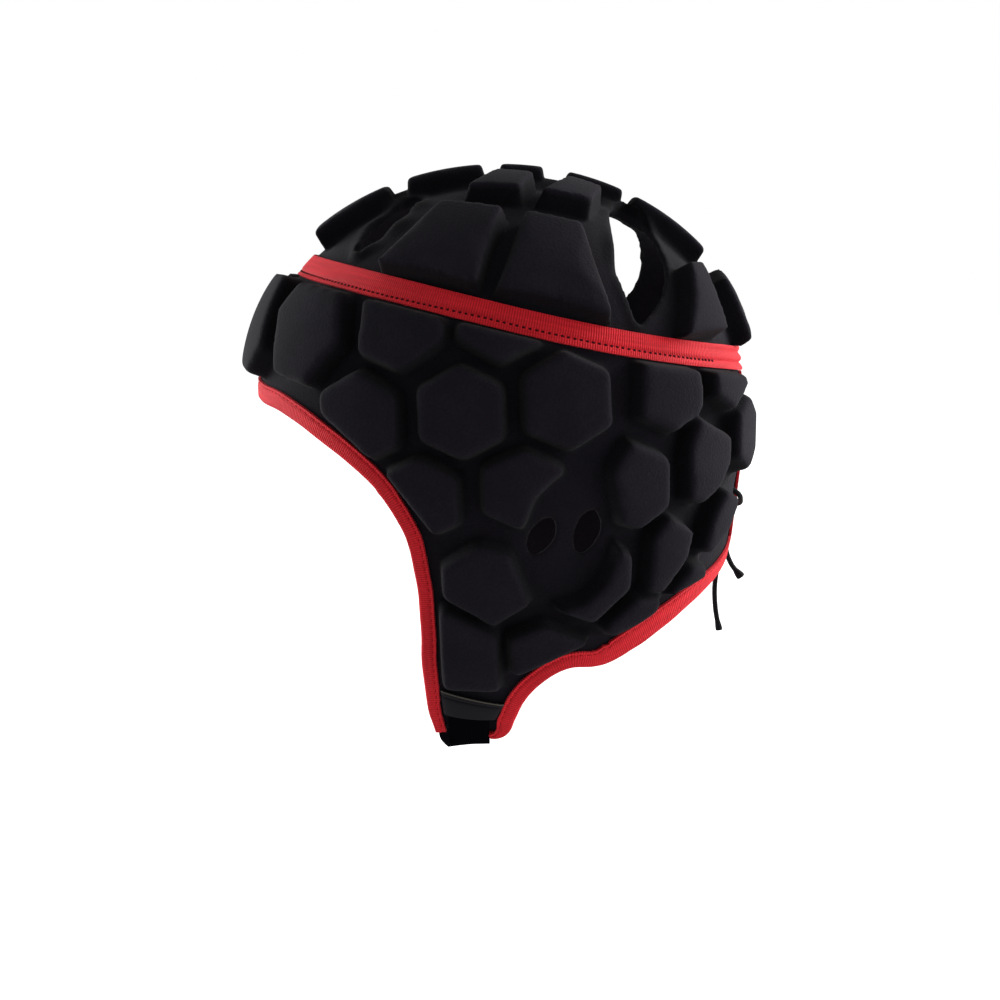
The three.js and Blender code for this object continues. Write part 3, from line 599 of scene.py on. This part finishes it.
stitch_count = round(BAND_LENGTH / STITCH_PITCH)
band_places = []
for step in range(stitch_count):
    share = (step + 0.5) / stitch_count
    if abs(share - 0.5) > STITCHES_SEEN:
        continue
    height = BAND_HEIGHT + TAPE_THICKNESS / 2 - CHANNEL_DEPTH
    spot = on_seam(band_turn(share), stitch_line(share), height)
    ahead = on_seam(band_turn(share + STITCH_AHEAD), stitch_line(share), height)
    band_places.append((spot, ahead - spot, last_height(spot)[1]))
band_stitches = stitch_row("crown_band_stitches", band_places, BAND_STITCH)
finish_piece(band_stitches, thread, "tape")


# Rim bindings: the same red tape folded over the raw edge of the side panel and sewn through. One runs
# round the face from flap tip to flap tip, and one on each side runs along the neck and up the slit.
FOLD_HEIGHTS = {"inside": -0.0009, "outside": 0.0034}
FOLD_REACH = 0.0009
FOLD_STEPS = 34
FACE_STEPS = 300
NECK_STEPS = 160
SLIT_STEPS = 80
LEG_SHARE = 0.38
BINDING_STITCHES = 0.0013
BINDING_PITCH = 0.0028
BINDING_STITCH = (0.0017, 0.0005, 0.0004)
BINDING_CHANNEL_HALF = 0.6 * CHANNEL_HALF
STITCH_LEAN = 0.35
# Small waves of the sewn edge: how fast they turn with the steps of the line, their size and their start
BINDING_WAVES = [(0.13, 0.00012, 0.0), (0.41, 0.000072, 1.7)]
FLAP_BOTTOM = 0.208
SLIT_TAPE = 0.0055
# From the left flap tip up to the brow: how far back, the drop, and the tape's width seen from the side
FACE_RIM = [
    (-0.0236, FLAP_BOTTOM, 0.0034),
    (-0.0262, 0.1980, 0.0041),
    (-0.0279, 0.1800, 0.0048),
    (-0.0280, 0.1610, 0.0046),
    (-0.0295, 0.1430, 0.0046),
    (-0.0340, 0.1245, 0.0048),
    (-0.0450, 0.1075, 0.0052),
    (-0.0620, 0.0945, 0.0060),
    (-0.0800, 0.0845, 0.0065),
    (-0.0915, 0.0818, 0.0065),
    (-0.0955, 0.0812, 0.0065),
]
BROW_DROP = 0.0810
# From the flap tip back to the slit, in the same way
NECK_RIM = [
    (-0.0048, 0.2083, 0.0008),
    (-0.0024, 0.2089, 0.0022),
    (0.0008, 0.2080, 0.0038),
    (0.0031, 0.2055, 0.0049),
    (0.0046, 0.2015, 0.0054),
    (0.0085, 0.1920, 0.0055),
    (0.0165, 0.1830, 0.0055),
    (0.0260, 0.1785, 0.0055),
    (0.0350, 0.1790, 0.0058),
    (0.0400, 0.1782, 0.0072),
    (0.0500, 0.1736, 0.0082),
    (0.0630, 0.1662, 0.0082),
    (0.0760, 0.1584, 0.0070),
    (0.0870, 0.1519, 0.0060),
]
# At the slit's corner: the point, and the tape's width
NECK_END = ((SLIT_HALF, 0.0945, -0.1457), 0.0060)
SLIT_EDGE_DROPS = [0.1457, 0.1300, 0.1100, 0.0900, 0.0722]


def flank(back, drop):
    """The point of the last on the wearer's left at a distance back and a drop."""
    section = section_at(drop)
    length = section["front"] if back < 0 else section["back"]
    return last_place(math.asin(back / length), drop)


def smooth_line(points, count):
    """Points along a smooth curve through given ones, evenly spaced by the chords."""
    spots = [Vector(point) for point in points]
    reach = [0.0]
    for spot, following in zip(spots, spots[1:]):
        reach.append(reach[-1] + (following - spot).length)
    final = len(spots) - 1
    slopes = []
    for i in range(len(spots)):
        before, after = max(i - 1, 0), min(i + 1, final)
        slopes.append((spots[after] - spots[before]) / (reach[after] - reach[before]))
    line = []
    for step in range(count + 1):
        at = reach[-1] * step / count
        i = max(k for k in range(final) if reach[k] <= at + 1e-9)
        span = reach[i + 1] - reach[i]
        t = (at - reach[i]) / span
        line.append(
            spots[i] * (1 - 3 * t**2 + 2 * t**3)
            + slopes[i] * span * (t - 2 * t**2 + t**3)
            + spots[i + 1] * (3 * t**2 - 2 * t**3)
            + slopes[i + 1] * span * (t**3 - t**2)
        )
    return line


def line_length(line):
    return sum((b - a).length for a, b in zip(line, line[1:]))


def fold(share, width):
    """Depth in from the cloth's edge, and height, across a tape folded over that edge."""
    middle = (FOLD_HEIGHTS["inside"] + FOLD_HEIGHTS["outside"]) / 2
    half = (FOLD_HEIGHTS["outside"] - FOLD_HEIGHTS["inside"]) / 2
    if share < LEG_SHARE:
        return width * (1 - share / LEG_SHARE), FOLD_HEIGHTS["inside"]
    if share > 1 - LEG_SHARE:
        depth = width * (share - 1 + LEG_SHARE) / LEG_SHARE
        off_stitches = (depth - width + BINDING_STITCHES) / BINDING_CHANNEL_HALF
        return depth, FOLD_HEIGHTS["outside"] - CHANNEL_DEPTH * math.exp(-(off_stitches**2))
    angle = math.pi * (share - 0.5) / (1 - 2 * LEG_SHARE)
    return -FOLD_REACH * math.cos(angle), middle + half * math.sin(angle)


def rim_frame(line, i, into):
    """The way along a rim, the way into the cloth and the way out of it at a step of the line.

    Seen from outside, the cloth lies left of the line where into is 1, and right of it where it is -1.
    """
    along = line[min(i + 1, len(line) - 1)] - line[max(i - 1, 0)]
    outward = last_height(line[i])[1]
    return along.normalized(), outward.cross(along).normalized() * into, outward


def mirrored(point, side):
    return Vector((side * point.x, point.y, point.z))


def folded_tape(name, line, widths, into, side):
    """Folded tape along a rim line, given on the wearer's left and mirrored for the other side."""
    count = len(line) - 1

    def placed(u, v):
        i = round(u * count)
        inward = rim_frame(line, i, into)[1]
        depth, height = fold(v, widths[i])
        uneven = sum(size * math.sin(turn * i + start) for turn, size, start in BINDING_WAVES)
        return mirrored(on_last(line[i] + inward * (depth + uneven), height), side)

    piece = strip(name, count, FOLD_STEPS, line_length(line), placed)
    thickened(piece, TAPE_THICKNESS)
    return piece


def rim_line(rows, count, into):
    """A rim's line and its tape's widths on the cloth, from rows of a point and a width in side view."""
    line = smooth_line([row[0] for row in rows], count)
    widths = []
    for i, spot in enumerate(line):
        nearest = sorted(rows, key=lambda row: (row[0] - spot).length)[:2]
        spread = [1 / ((row[0] - spot).length + 1e-6) for row in nearest]
        seen = sum(row[1] * weight for row, weight in zip(nearest, spread)) / sum(spread)
        inward = rim_frame(line, i, into)[1]
        widths.append(seen / math.hypot(inward.y, inward.z))
    return line, widths


def binding_stitches(name, line, widths, into, side):
    """A row of stitches in the channel near a binding's inner edge."""
    places = []
    count = round(line_length(line) / BINDING_PITCH)
    for step in range(1, count):
        i = round(step * (len(line) - 1) / count)
        along, inward, outward = rim_frame(line, i, into)
        height = FOLD_HEIGHTS["outside"] + TAPE_THICKNESS / 2 - CHANNEL_DEPTH
        spot = on_last(line[i] + inward * (widths[i] - BINDING_STITCHES), height)
        lean = along + inward * STITCH_LEAN
        places.append((mirrored(spot, side), mirrored(lean, side), mirrored(outward, side)))
    return stitch_row(name, places, BINDING_STITCH)


RED_THREAD = (0.30, 0.006, 0.011)
tape_thread, _ = new_material("tape_thread", RED_THREAD, 0.8, Specular_IOR_Level=0.1)

face_left = [(flank(back, drop), width) for back, drop, width in FACE_RIM]
face_right = [(mirrored(point, -1), width) for point, width in reversed(face_left)]
brow = [(last_place(-math.pi / 2, BROW_DROP), FACE_RIM[-1][2])]
face_line, face_widths = rim_line(face_left + brow + face_right, FACE_STEPS, -1)
face_binding = folded_tape("face_binding_tape", face_line, face_widths, -1, 1)
face_stitches = binding_stitches("face_binding_stitches", face_line, face_widths, -1, 1)
finish_piece(face_stitches, tape_thread, "tape")
finish_piece(face_binding, tape_cloth, "tape", "face_binding")

neck_rows = [(flank(back, drop), width) for back, drop, width in NECK_RIM]
neck_rows.append((Vector(NECK_END[0]), NECK_END[1]))
neck_line, neck_widths = rim_line(neck_rows, NECK_STEPS, 1)
slit_spots = []
for drop in SLIT_EDGE_DROPS:
    breadth = section_at(drop)["breadth"]
    slit_spots.append(last_place(math.acos(SLIT_HALF / breadth), drop))
slit_line = smooth_line(slit_spots, SLIT_STEPS)
for side, node in ((1, "neck_binding_left"), (-1, "neck_binding_right")):
    along_neck = folded_tape(node + "_tape", neck_line, neck_widths, 1, side)
    up_slit = folded_tape(node + "_slit_tape", slit_line, [SLIT_TAPE] * len(slit_line), 1, side)
    finish_piece(joined([along_neck, up_slit]), tape_cloth, "tape", node)
    neck_stitches = binding_stitches(node + "_stitches", neck_line, neck_widths, 1, side)
    finish_piece(neck_stitches, tape_thread, "tape")


# Chin strap: plain black webbing, one loop whose ends are sewn on the flap tips under the covers and
# which hangs below them under the chin.
STRAP_BACK = -0.0117
STRAP_HALF = 0.0079
STRAP_THICKNESS = 0.0015
STRAP_HEIGHT = 0.0036
STRAP_LEVEL = 0.214
STRAP_TILT = 0.12
STRAP_STEPS = 150
STRAP_STEPS_ACROSS = 8
STRAP_TOPS = [0.1960, 0.2020, 0.2080]
STRAP_UNDER_CHIN = [
    (0.0635, -0.0119, -0.2120),
    (0.0570, -0.0134, -0.2145),
    (0.0400, -0.0170, -0.2185),
    (0.0200, -0.0186, -0.2220),
]
STRAP_MIDDLE = (0.0, -0.0190, -0.2230)

strap_left = [on_last(flank(STRAP_BACK, drop), STRAP_HEIGHT) for drop in STRAP_TOPS]
strap_left += [Vector(spot) for spot in STRAP_UNDER_CHIN]
strap_right = [mirrored(spot, -1) for spot in reversed(strap_left)]
strap_line = smooth_line(strap_left + [Vector(STRAP_MIDDLE)] + strap_right, STRAP_STEPS)
flap_outward = last_height(flank(STRAP_BACK, FLAP_BOTTOM))[1]
flap_across = Vector((0, 0, 1)).cross(flap_outward).normalized()


def strap_place(u, v):
    """A point of the webbing, flat on the flaps at its ends and tilted a little under the chin."""
    i = round(u * STRAP_STEPS)
    spot = strap_line[i]
    along = strap_line[min(i + 1, STRAP_STEPS)] - strap_line[max(i - 1, 0)]
    share = max(0.0, min(1.0, (-spot.z - FLAP_BOTTOM) / (STRAP_LEVEL - FLAP_BOTTOM)))
    wide = mirrored(flap_across, math.copysign(1, spot.x)).lerp(Vector((0, 1, STRAP_TILT)), share)
    wide = (wide - along * (wide.dot(along) / along.length_squared)).normalized()
    return spot + wide * ((2 * v - 1) * STRAP_HALF)


WEBBING = (0.0028, 0.0024, 0.0033)
WEAVE_PITCH = 0.0008
webbing, webbing_shader = new_material("webbing", WEBBING, 0.95, Specular_IOR_Level=0.0)
tree = webbing.node_tree
chart = add_node(tree, "ShaderNodeTexCoord")
laid = add_node(tree, "ShaderNodeMapping")
laid.inputs["Scale"].default_value = (1 / WEAVE_PITCH, 2 * STRAP_HALF / WEAVE_PITCH, 1)
weave = add_node(tree, "ShaderNodeTexChecker", Scale=1.0)
bump = add_node(tree, "ShaderNodeBump", Strength=0.4, Distance=0.0002)
tree.links.new(chart.outputs["UV"], laid.inputs["Vector"])
tree.links.new(laid.outputs["Vector"], weave.inputs["Vector"])
tree.links.new(weave.outputs["Fac"], bump.inputs["Height"])
tree.links.new(bump.outputs["Normal"], webbing_shader.inputs["Normal"])

strap = strip("chin_strap_webbing", STRAP_STEPS, STRAP_STEPS_ACROSS, line_length(strap_line), strap_place)
thickened(strap, STRAP_THICKNESS)
finish_piece(strap, webbing, "webbing", "chin_strap")


# Strap covers: a smooth black coated patch sewn over each end of the strap between the two bindings.
# Its cut top edge shows as a thin lighter line.
COVER_TOP = {"front": (-0.0217, 0.1888), "back": (0.0013, 0.1938)}
COVER_BOTTOM = {"front": (-0.0206, 0.1988), "back": (-0.0018, 0.2000)}
COVER_HEIGHT = 0.0036
COVER_RISE = 0.0017
COVER_THICKNESS = 0.0011
COVER_TOP_PRESS = 0.55
COVER_LENGTH = 0.023
COVER_STEPS = 28
COVER_STEPS_ACROSS = 44
COVER_EDGE_RADIUS = 0.0003
COVER_EDGE_STEPS = 30
COVER_EDGE_SIDES = 8
HEM_LINE = 0.78
HEM_HALF = 0.045
HEM_DEPTH = 0.0007


def cover_place(u, v, lift):
    """A point of the left cover, from front to back and from bottom to top."""
    low = Vector(COVER_BOTTOM["front"]).lerp(Vector(COVER_BOTTOM["back"]), u)
    high = Vector(COVER_TOP["front"]).lerp(Vector(COVER_TOP["back"]), u)
    back, drop = low.lerp(high, v)
    bulge = math.sqrt(max(0.0, math.sin(math.pi * u))) * (1 - COVER_TOP_PRESS * v**3)
    hem = HEM_DEPTH * math.exp(-(((v - HEM_LINE) / HEM_HALF) ** 2))
    return on_last(flank(back, drop), COVER_HEIGHT + COVER_RISE * bulge - hem + lift)


COATED_BLACK = (0.011, 0.0100, 0.0125)
CUT_EDGE_GREY = (0.10, 0.09, 0.076)
coated, _ = new_material("coated_patch", COATED_BLACK, 0.5, Specular_IOR_Level=0.1)
cut_edge, _ = new_material("patch_cut_edge", CUT_EDGE_GREY, 0.7, Specular_IOR_Level=0.1)


def tube(name, line, radii, around=10):
    """A round tube along a line with a radius at each point, closed at both ends."""
    count = len(line) - 1
    # Any direction that no tube starts along
    sideways = Vector((1, 0.3, 0.2)).normalized()
    frames = []
    for i in range(count + 1):
        along = (line[min(i + 1, count)] - line[max(i - 1, 0)]).normalized()
        sideways = (sideways - along * sideways.dot(along)).normalized()
        frames.append((sideways, along.cross(sideways)))

    def placed(u, v):
        i = round(u * count)
        angle = 2 * math.pi * v
        first, second = frames[i]
        return line[i] + (first * math.cos(angle) + second * math.sin(angle)) * radii[i]

    piece = strip(name, count, around, line_length(line), placed)
    bpy.ops.object.mode_set(mode="EDIT")
    bpy.ops.mesh.select_all(action="SELECT")
    bpy.ops.mesh.remove_doubles(threshold=MERGE_DISTANCE)
    bpy.ops.mesh.select_all(action="DESELECT")
    bpy.ops.mesh.select_non_manifold()
    bpy.ops.mesh.fill_holes(sides=0)
    bpy.ops.object.mode_set(mode="OBJECT")
    facing_out(piece)
    return piece


for side, node in ((1, "strap_cover_left"), (-1, "strap_cover_right")):
    patch = strip(
        node + "_patch",
        COVER_STEPS,
        COVER_STEPS_ACROSS,
        COVER_LENGTH,
        lambda u, v: mirrored(cover_place(u, v, 0), side),
    )
    thickened(patch, COVER_THICKNESS)
    edge_line = []
    for step in range(COVER_EDGE_STEPS + 1):
        spot = cover_place(step / COVER_EDGE_STEPS, 1, COVER_THICKNESS / 2)
        edge_line.append(mirrored(spot, side))
    edge = tube(node + "_cut_edge", edge_line, [COVER_EDGE_RADIUS] * len(edge_line), COVER_EDGE_SIDES)
    finish_piece(patch, coated, "cover", node)
    finish_piece(edge, cut_edge, "cover")


# Rear lace: a black round braided cord, crossed through three pairs of holes over the slit and knotted
# below. Its two cut ends hang free from the knot, one sealed to a blob and one cut straight.
LACE_RADIUS = 0.0011
# From the knot up through the holes: how far across the back, the drop and the height over the last
LACE_UP = [
    (0.0000, 0.1300, 0.0030),
    (0.0034, 0.1285, 0.0059),
    (0.0085, 0.1260, 0.0059),
    (0.0144, 0.1222, 0.0045),
    (0.0150, 0.1200, 0.0012),
    (0.0144, 0.1178, -0.0025),
    (0.0085, 0.1152, -0.0034),
    (0.0000, 0.1105, -0.0034),
    (-0.0085, 0.1058, -0.0034),
    (-0.0144, 0.1032, -0.0025),
    (-0.0150, 0.1010, 0.0012),
    (-0.0144, 0.0988, 0.0045),
    (-0.0085, 0.0962, 0.0059),
    (0.0000, 0.0915, 0.0059),
    (0.0085, 0.0868, 0.0059),
    (0.0144, 0.0842, 0.0045),
    (0.0150, 0.0820, 0.0012),
    (0.0144, 0.0798, -0.0025),
]
LACE_TOP = (0.0000, 0.0790, -0.0034)
# On its way down the cord crosses itself: the drop and its height there
LACE_CROSSINGS = {0.0915: 0.0085, 0.1105: -0.0060}
LACE_STEPS = 320
KNOT_MIDDLE = Vector((0, 0.0993, -0.1300))
KNOT_SCALE = 0.00095
KNOT_DEPTH = 1.2
KNOT_STEPS = 90
TAIL_STEPS = 6
LACE_ENDS = [
    {
        "node": "lace_end_left",
        "route": [
            (0.0015, 0.0989, -0.1342),
            (0.0019, 0.0980, -0.1420),
            (0.0022, 0.0956, -0.1520),
            (0.0024, 0.0938, -0.1650),
            (0.0025, 0.0944, -0.1760),
            (0.0026, 0.0964, -0.1860),
        ],
        "tip": 0.0015,
        "tip_steps": 5,
    },
    {
        "node": "lace_end_right",
        "route": [
            (-0.0015, 0.0989, -0.1342),
            (-0.0019, 0.0982, -0.1430),
            (-0.0021, 0.0990, -0.1510),
            (-0.0023, 0.1015, -0.1574),
            (-0.0024, 0.1060, -0.1632),
        ],
        "tip": 0.0019,
        "tip_steps": 8,
    },
]
LACE_END_STEPS = 60


def back_place(across, drop, height):
    """The point at the back at a distance across, a drop and a height over the last."""
    breadth = section_at(drop)["breadth"]
    return on_last(last_place(math.acos(across / breadth), drop), height)


LACE_BLACK = (0.0072, 0.0060, 0.0080)
BRAID_PITCH = 0.0016
BRAID_STRANDS = 4
BRAID_ANGLE = math.radians(45)
lace_cord, lace_shader = new_material("braided_lace", LACE_BLACK, 0.7, Specular_IOR_Level=0.1)
tree = lace_cord.node_tree
chart = add_node(tree, "ShaderNodeTexCoord")
mapped = add_node(tree, "ShaderNodeMapping")
mapped.inputs["Scale"].default_value = (1 / BRAID_PITCH, BRAID_STRANDS, 1)
mapped.inputs["Rotation"].default_value = (0, 0, BRAID_ANGLE)
braid = add_node(tree, "ShaderNodeTexChecker", Scale=1.0)
bump = add_node(tree, "ShaderNodeBump", Strength=0.6, Distance=0.0002)
tree.links.new(chart.outputs["UV"], mapped.inputs["Vector"])
tree.links.new(mapped.outputs["Vector"], braid.inputs["Vector"])
tree.links.new(braid.outputs["Fac"], bump.inputs["Height"])
tree.links.new(bump.outputs["Normal"], lace_shader.inputs["Normal"])

lace_rows = LACE_UP + [LACE_TOP]
for across, drop, height in reversed(LACE_UP):
    lace_rows.append((-across, drop, LACE_CROSSINGS.get(drop, height)))
lace_line = smooth_line([back_place(*row) for row in lace_rows], LACE_STEPS)
lace = tube("rear_lace_cord", lace_line, [LACE_RADIUS] * (LACE_STEPS + 1))
# The knot is a trefoil, the closed curve of an overhand knot
knot_line = []
for step in range(KNOT_STEPS + 1):
    t = 2 * math.pi * step / KNOT_STEPS
    across = math.sin(t) + 2 * math.sin(2 * t)
    upward = math.cos(t) - 2 * math.cos(2 * t)
    outward = -KNOT_DEPTH * math.sin(3 * t)
    knot_line.append(KNOT_MIDDLE + Vector((across, outward, upward)) * KNOT_SCALE)
knot = tube("rear_lace_knot", knot_line, [LACE_RADIUS] * (KNOT_STEPS + 1))
tails = []
for row in LACE_ENDS:
    tail_end = Vector(row["route"][0])
    tail_line = [KNOT_MIDDLE.lerp(tail_end, step / TAIL_STEPS) for step in range(TAIL_STEPS + 1)]
    tails.append(tube(row["node"] + "_tail", tail_line, [LACE_RADIUS] * (TAIL_STEPS + 1)))
finish_piece(joined([lace, knot] + tails), lace_cord, "lace", "rear_lace")

for row in LACE_ENDS:
    line = smooth_line(row["route"], LACE_END_STEPS)
    radii = [LACE_RADIUS] * (LACE_END_STEPS + 1)
    for step in range(row["tip_steps"]):
        swell = math.sin(math.pi / 2 * (1 - step / row["tip_steps"]))
        radii[-1 - step] = LACE_RADIUS + (row["tip"] - LACE_RADIUS) * swell
    end = tube(row["node"] + "_cord", line, radii)
    finish_piece(end, lace_cord, "lace", row["node"])
    line_length(line)


# Floor and light: a plain pale floor under the cap as worn, large soft lamps behind it on each side and
# a weak low one, and a bright surround. Floor and surround give the cap less light than they show.
FLOOR_LEVEL = -0.30
FLOOR_SIZE = 12
FLOOR_GREY = (0.6, 0.6, 0.6)
FLOOR_GLOW = 0.80
SURROUND_LIGHT = 0.37
LAMP_AIM = (0, 0, -0.1)
LAMPS = [
    {"name": "rear", "place": (-0.5, 1.5, 0.5), "size": 1.0, "watts": 42},
    {"name": "front", "place": (-0.6, -1.4, 0.2), "size": 1.0, "watts": 29},
    {"name": "low", "place": (0.6, 1.3, -0.1), "size": 0.8, "watts": 6},
]

bpy.ops.mesh.primitive_plane_add(size=FLOOR_SIZE, location=(0, 0, FLOOR_LEVEL))
floor = bpy.context.object
floor.name = "floor"
floor_paint, floor_shader = new_material("floor_paint", FLOOR_GREY, 0.9, Emission_Color=(1, 1, 1, 1))
seen = add_node(floor_paint.node_tree, "ShaderNodeLightPath")
glow = add_node(floor_paint.node_tree, "ShaderNodeMapRange", To_Min=0.0, To_Max=FLOOR_GLOW)
floor_paint.node_tree.links.new(seen.outputs["Is Camera Ray"], glow.inputs["Value"])
floor_paint.node_tree.links.new(glow.outputs["Result"], floor_shader.inputs["Emission Strength"])
floor.data.materials.append(floor_paint)

for lamp in LAMPS:
    bpy.ops.object.light_add(type="AREA", location=lamp["place"])
    light = bpy.context.object
    light.name = lamp["name"] + "_lamp"
    light.visible_camera = False
    light.data.size = lamp["size"]
    light.data.energy = lamp["watts"]
    toward = Vector(LAMP_AIM) - Vector(lamp["place"])
    light.rotation_euler = toward.to_track_quat("-Z", "Y").to_euler()

world = bpy.data.worlds.new("surround")
world.use_nodes = True
surround = world.node_tree.nodes["Background"]
surround.inputs["Color"].default_value = (1, 1, 1, 1)
seen = add_node(world.node_tree, "ShaderNodeLightPath")
dimmed = add_node(world.node_tree, "ShaderNodeMapRange", To_Min=SURROUND_LIGHT, To_Max=1.0)
world.node_tree.links.new(seen.outputs["Is Camera Ray"], dimmed.inputs["Value"])
world.node_tree.links.new(dimmed.outputs["Result"], surround.inputs["Strength"])
bpy.context.scene.world = world
bpy.context.scene.view_settings.view_transform = "Standard"
